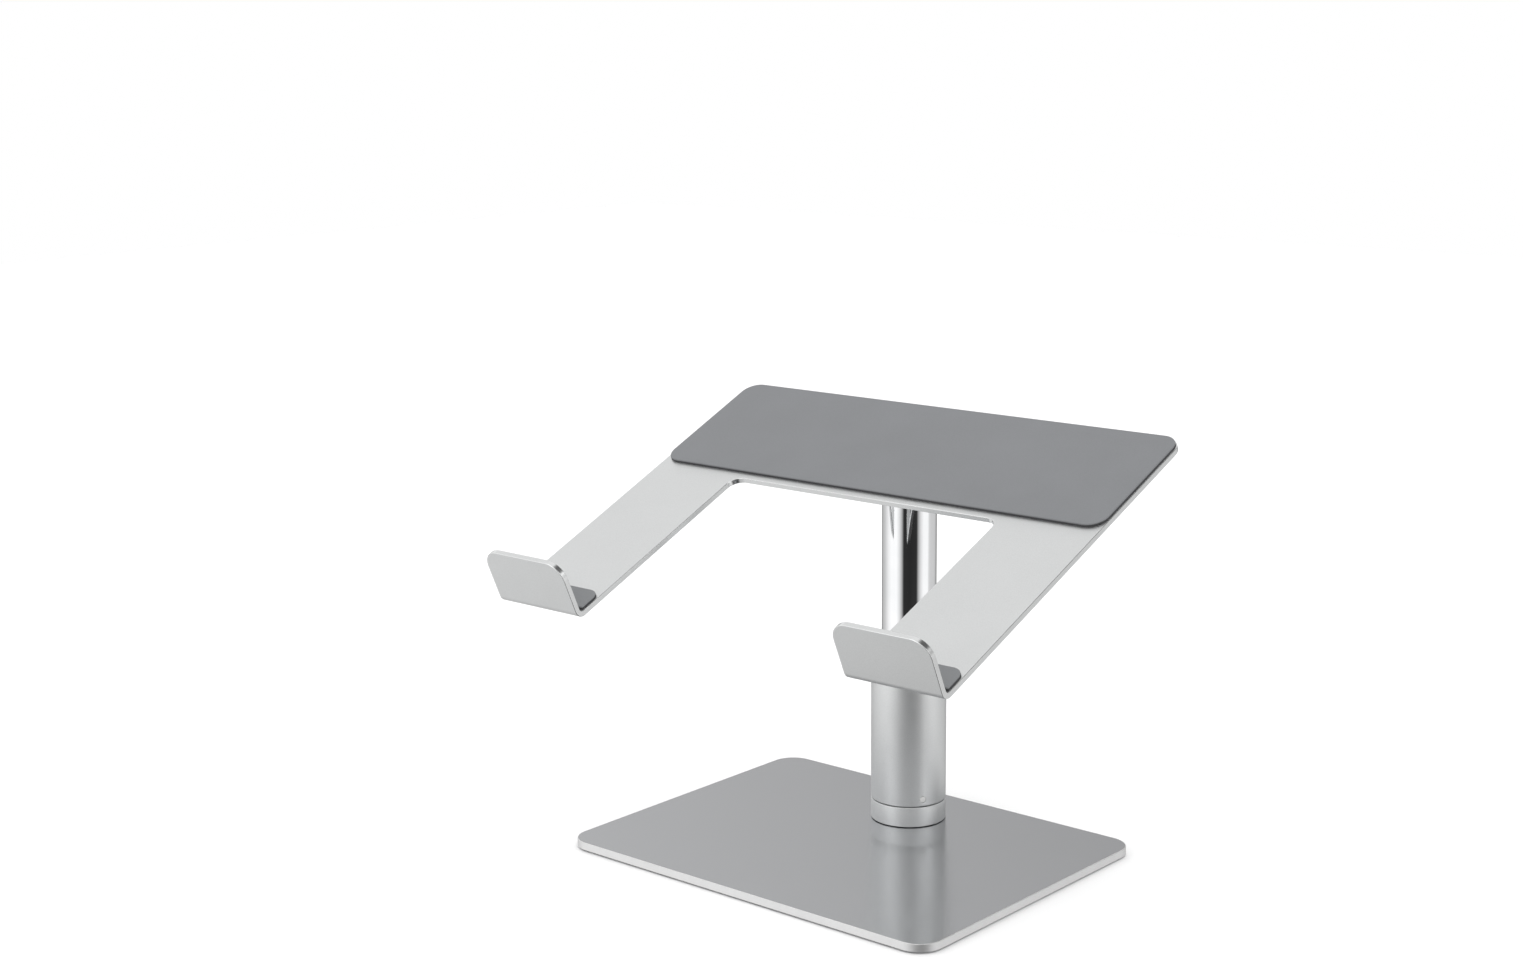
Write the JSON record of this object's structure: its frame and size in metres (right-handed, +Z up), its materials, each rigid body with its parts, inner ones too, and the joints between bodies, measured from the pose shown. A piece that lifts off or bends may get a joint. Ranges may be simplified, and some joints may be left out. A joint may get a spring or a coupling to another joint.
{
  "type": "laptop stand",
  "caption": "Height-adjustable swivelling laptop stand: flat base plate, round telescoping column, U-shaped tilted tray with two upturned lips and grey grip pads.",
  "frame": {"origin": "on the desk, under the middle of the base plate", "axes": "+Z up, -Y towards the user, +X to the user's right"},
  "size_m": [0.2824, 0.2131, 0.2219],
  "materials": {
    "base": "satin bead-blasted silver plate",
    "aluminium": "satin anodised, drawn lengthwise",
    "tray": "fine bead-blasted, anodised",
    "chrome": "polished chrome plate",
    "pad": "matt grey silicone",
    "mat": "matt black silicone",
    "steel": "zinc-plated steel",
    "polymer": "black low-friction polymer",
    "glide": "off-white low-friction polymer"
  },
  "bodies": {
    "base": {"base_plate": "base", "base_mat": "mat", "collar": "aluminium", "collar_screw_1": "steel", "collar_screw_2": "steel", "collar_screw_3": "steel", "spindle": "steel", "glide_washer": "glide", "spindle_washer": "steel", "spindle_nut": "steel"},
    "column": {"column_tube": "aluminium", "column_floor": "aluminium", "column_bush": "polymer", "wiper_ring": "mat", "index_dot": "glide"},
    "lift": {"inner_tube": "chrome", "tube_guide": "polymer", "tray_bracket": "aluminium", "tray_plate": "tray", "tray_screw_1": "steel", "tray_screw_2": "steel", "tray_screw_3": "steel", "tray_screw_4": "steel", "rear_pad": "pad", "hook_pad_left": "pad", "hook_pad_right": "pad"}
  },
  "joints": [
    {"name": "swivel", "type": "hinge", "parent": "base", "child": "column", "pos_m": [0, 0.0503, 0.0163], "axis": [0, 0, 1], "continuous": true},
    {"name": "height", "type": "slide", "parent": "column", "child": "lift", "axis": [0, 0, 1], "range_m": [-0.047, 0.008]}
  ]
}
